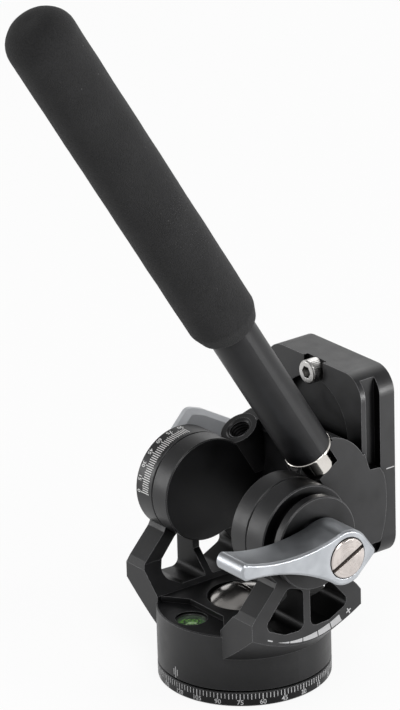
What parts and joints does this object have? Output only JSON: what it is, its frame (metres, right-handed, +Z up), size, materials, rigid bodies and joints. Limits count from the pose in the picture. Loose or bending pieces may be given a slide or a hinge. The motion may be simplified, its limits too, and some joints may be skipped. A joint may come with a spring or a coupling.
{
  "type": "pan and tilt head",
  "caption": "Camera pan and tilt head: windowed yoke on a round base, upright camera platform, side handle with foam grip, tilt levers on both ears.",
  "frame": {"origin": "on the pan axis at the underside of the base", "axes": "+Z up along the pan axis, +X along the tilt axis towards the drag lever, +Y towards the camera platform"},
  "size_m": [0.0991, 0.1545, 0.2627],
  "materials": {
    "anodised": "satin black anodised",
    "tube": "smooth semi-gloss black",
    "foam": "matte closed-cell foam",
    "silver": "satin silver anodised",
    "nickel": "satin nickel",
    "steel": "turned steel",
    "bright": "polished",
    "machined": "turned",
    "brass": "turned",
    "plain_bearing": "low-friction plastic",
    "knob": "fine knurl",
    "rubber": "ribbed",
    "level_body": "black",
    "level_glass": "clear",
    "level_green": "tinted liquid",
    "level_air": "air bubble"
  },
  "bodies": {
    "base": {"base_disc": "anodised", "pan_axle": "machined", "axle_screws": "steel", "tripod_bush": "brass", "glide_ring": "plain_bearing", "thrust_washer": "plain_bearing", "spring_washer": "steel", "axle_nut": "steel"},
    "pan_body": {"yoke": "anodised", "pan_bush": "brass", "centre_cap": "bright", "level_cup": "level_body", "level_lens": "level_glass", "level_bubble": "level_air", "level_liquid": "level_green", "pan_lock_shoe": "brass", "near_bush": "brass", "far_bush": "brass", "near_friction_disc": "plain_bearing", "far_friction_disc": "plain_bearing", "near_disc_spring": "steel", "far_disc_spring": "steel"},
    "pan_lock": {"pan_lock_knob": "knob", "pan_lock_screw": "steel"},
    "drag": {"drag_cap": "anodised", "drag_lever": "silver", "drag_lever_screw": "nickel"},
    "tilt_lock": {"lock_cap": "anodised", "lock_lever": "silver", "lock_lever_screw": "nickel"},
    "tilt_body": {"near_cheek": "anodised", "far_cheek": "anodised", "cradle_web": "anodised", "near_pivot": "steel", "far_pivot": "steel", "platform": "anodised", "stop_screw": "steel", "platform_screws": "steel", "camera_plate": "anodised", "plate_pads": "rubber", "handle_stud": "steel", "handle_collar": "bright", "handle_tube": "tube", "grip_plug": "tube", "foam_grip": "foam"},
    "jaw": {"clamp_jaw": "anodised", "guide_pins": "steel"},
    "jaw_knob": {"clamp_knob": "knob", "clamp_screw": "steel"},
    "camera_screw_body": {"camera_screw": "nickel"}
  },
  "joints": [
    {"name": "pan", "type": "hinge", "parent": "base", "child": "pan_body", "pos_m": [0, 0, 0], "axis": [0, 0, 1], "continuous": true},
    {"name": "tilt", "type": "hinge", "parent": "pan_body", "child": "tilt_body", "pos_m": [0, 0, 0.0614], "axis": [1, 0, 0], "range_deg": [-10, 125]},
    {"name": "drag_lever", "type": "hinge", "parent": "pan_body", "child": "drag", "pos_m": [0.043, 0, 0.0614], "axis": [1, 0, 0], "range_deg": [-75, 75]},
    {"name": "tilt_lock", "type": "hinge", "parent": "pan_body", "child": "tilt_lock", "pos_m": [-0.038, 0, 0.0614], "axis": [1, 0, 0], "range_deg": [-35, 60]},
    {"name": "pan_lock", "type": "hinge", "parent": "pan_body", "child": "pan_lock", "pos_m": [0, 0, 0.0124], "axis": [-0.7986, 0.6018, 0], "range_deg": [-30, 330]},
    {"name": "jaw_slide", "type": "slide", "parent": "tilt_body", "child": "jaw", "axis": [-1, 0, 0], "range_m": [0, 0.0032]},
    {"name": "jaw_knob", "type": "hinge", "parent": "jaw", "child": "jaw_knob", "pos_m": [-0.029, 0.03765, 0.0722], "axis": [-1, 0, 0], "range_deg": [0, 1441]},
    {"name": "camera_screw", "type": "hinge", "parent": "tilt_body", "child": "camera_screw_body", "pos_m": [0, 0.05, 0.0722], "axis": [0, 1, 0], "continuous": true}
  ],
  "couplings": [
    {"joint": "jaw_knob", "follows": "jaw_slide", "rad_per_m": 7854}
  ]
}
